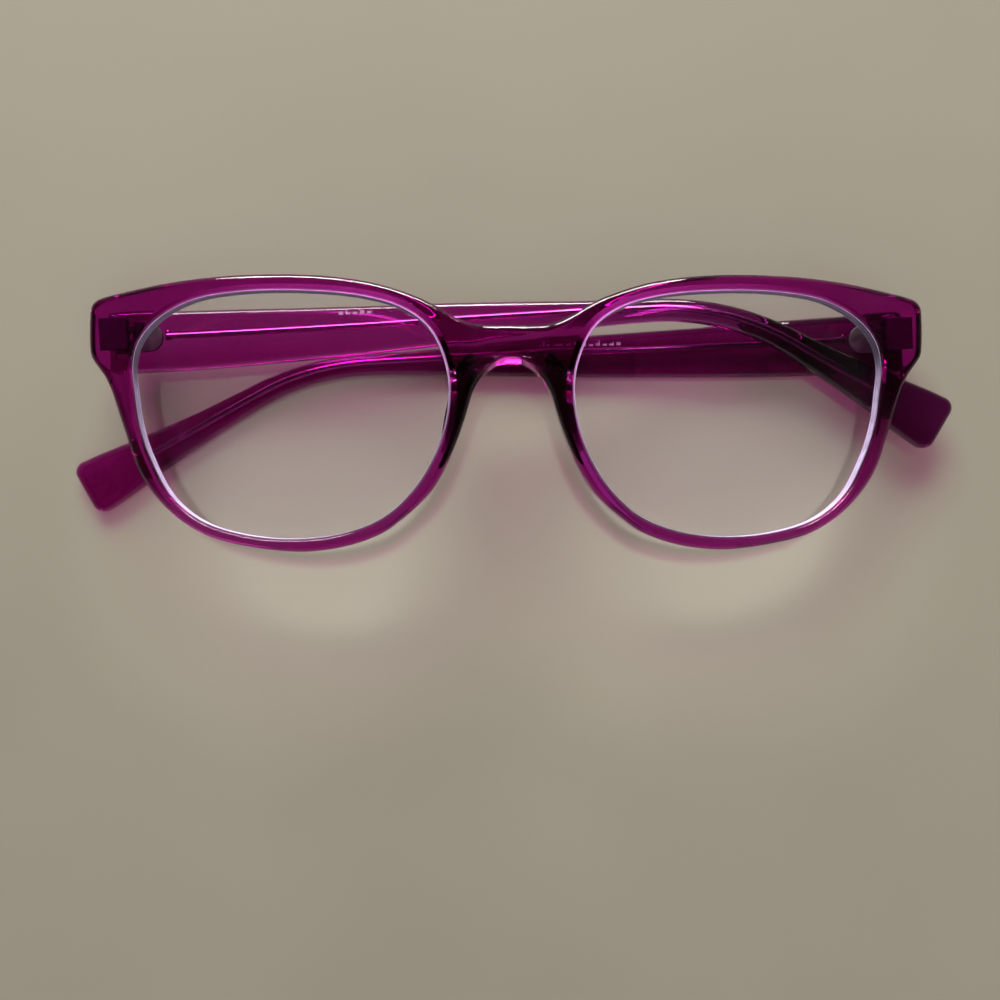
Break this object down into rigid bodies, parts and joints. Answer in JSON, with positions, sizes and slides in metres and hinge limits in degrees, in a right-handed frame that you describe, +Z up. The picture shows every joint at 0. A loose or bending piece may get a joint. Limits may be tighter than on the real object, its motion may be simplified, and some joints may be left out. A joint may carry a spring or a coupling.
{
  "type": "folded eyeglasses",
  "caption": "Full-rim clear plastic glasses, folded: front with bridge and nose pads, clear lenses, two hinged temples with metal core wires.",
  "frame": {"origin": "under the middle of the folded outline, on the table", "axes": "+X towards the wearer's left (the longest way), +Y towards the brow, +Z up from the table through the front"},
  "size_m": [0.1428, 0.0424, 0.0178],
  "materials": {
    "acetate": "clear plum, high gloss",
    "pad_acetate": "clear plum, high gloss",
    "lens_glass": "clear with a faint violet anti-reflection coat",
    "hinge_metal": "fine machined",
    "screw_metal": "polished",
    "wire_metal": "drawn wire"
  },
  "bodies": {
    "front": {"front_frame": "acetate", "lens_left": "lens_glass", "lens_right": "lens_glass", "nose_pad_left": "pad_acetate", "nose_pad_right": "pad_acetate", "front_hinge_leaf_left": "hinge_metal", "front_hinge_leaf_right": "hinge_metal", "hinge_screw_left": "screw_metal", "hinge_screw_right": "screw_metal"},
    "left_temple": {"temple_left": "acetate", "core_wire_left": "wire_metal", "temple_hinge_leaf_left": "hinge_metal"},
    "right_temple": {"temple_right": "acetate", "core_wire_right": "wire_metal", "temple_hinge_leaf_right": "hinge_metal"}
  },
  "joints": [
    {"name": "left_hinge", "type": "hinge", "parent": "front", "child": "left_temple", "pos_m": [0.06155, 0.01286, 0.0035], "axis": [0.0419, -0.9991, 0], "range_deg": [0, 88.4]},
    {"name": "right_hinge", "type": "hinge", "parent": "front", "child": "right_temple", "pos_m": [-0.06177, 0.01286, 0.00685], "axis": [-0.0549, 0.9985, 0], "range_deg": [0, 91.5]}
  ]
}
